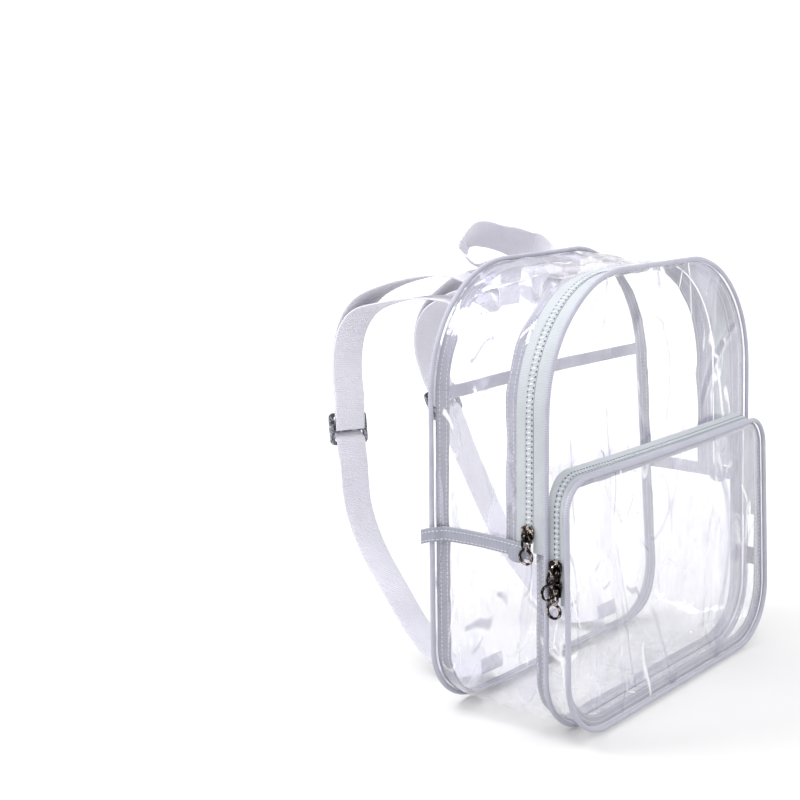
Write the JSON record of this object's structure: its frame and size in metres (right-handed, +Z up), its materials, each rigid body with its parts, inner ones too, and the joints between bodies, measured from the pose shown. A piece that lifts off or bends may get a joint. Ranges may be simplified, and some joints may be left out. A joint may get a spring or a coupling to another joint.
{
  "type": "clear backpack",
  "caption": "Clear film backpack with a zipped main body, a zipped front pocket, white piping and zip tape, a webbing carry handle and webbing shoulder straps with slide adjusters.",
  "frame": {"origin": "centre of the base, on the floor", "axes": "+X to the right as seen from the front, the front faces -Y, +Z up"},
  "size_m": [0.2852, 0.2658, 0.3279],
  "materials": {
    "film": "clear flexible PVC film, about 0.5 mm, glossy, lightly wrinkled",
    "tape": "woven polyester binding tape, matt, white with a lavender-grey shade",
    "zip_tape": "woven zip tape, matt, greenish grey-white",
    "chain": "nylon coil zip chain under woven tape",
    "webbing": "ribbed polypropylene webbing, matt, white with a lavender-grey shade",
    "metal": "dark plated zinc with bright highlights",
    "buckle": "grey coated metal, satin",
    "tab": "plain folded tab, matt"
  },
  "bodies": {
    "bag": {"back_panel": "film", "front_panel": "film", "lower_gusset": "film", "upper_gusset": "film", "pocket_panel": "film", "pocket_gusset": "film", "back_piping": "tape", "front_piping": "tape", "pocket_piping": "tape", "back_seam_binding": "tape", "front_seam_binding": "tape", "pocket_seam_binding": "tape", "zip_gusset_binding": "tape", "side_band_left": "tape", "side_band_right": "tape", "back_cross_band": "tape", "main_zip_tape_front": "zip_tape", "main_zip_tape_rear": "zip_tape", "pocket_zip_tape_rear": "zip_tape", "pocket_zip_tape_front": "zip_tape", "main_zip_chain": "chain", "pocket_zip_chain": "chain", "left_ring_tab": "webbing", "left_strap": "webbing", "right_ring_tab": "webbing", "right_strap": "webbing", "carry_handle": "webbing", "main_slider": "metal", "pocket_upper_slider": "metal", "pocket_lower_slider": "metal", "left_ring": "metal", "right_ring": "metal", "left_adjuster": "buckle", "right_adjuster": "buckle", "side_tab": "tab"},
    "main_pull": {"main_pull": "metal"},
    "pocket_upper_pull": {"pocket_upper_pull": "metal"},
    "pocket_lower_pull": {"pocket_lower_pull": "metal"}
  },
  "joints": [
    {"name": "main_pull_hinge", "type": "hinge", "parent": "bag", "child": "main_pull", "pos_m": [-0.13662, -0.03122, 0.13707], "axis": [0, 1, 0], "range_deg": [0, 165]},
    {"name": "pocket_upper_pull_hinge", "type": "hinge", "parent": "bag", "child": "pocket_upper_pull", "pos_m": [-0.13728, -0.05272, 0.11803], "axis": [0, 1, 0], "range_deg": [0, 150]},
    {"name": "pocket_lower_pull_hinge", "type": "hinge", "parent": "bag", "child": "pocket_lower_pull", "pos_m": [-0.13753, -0.05286, 0.10574], "axis": [0, 1, 0], "range_deg": [0, 40]}
  ]
}
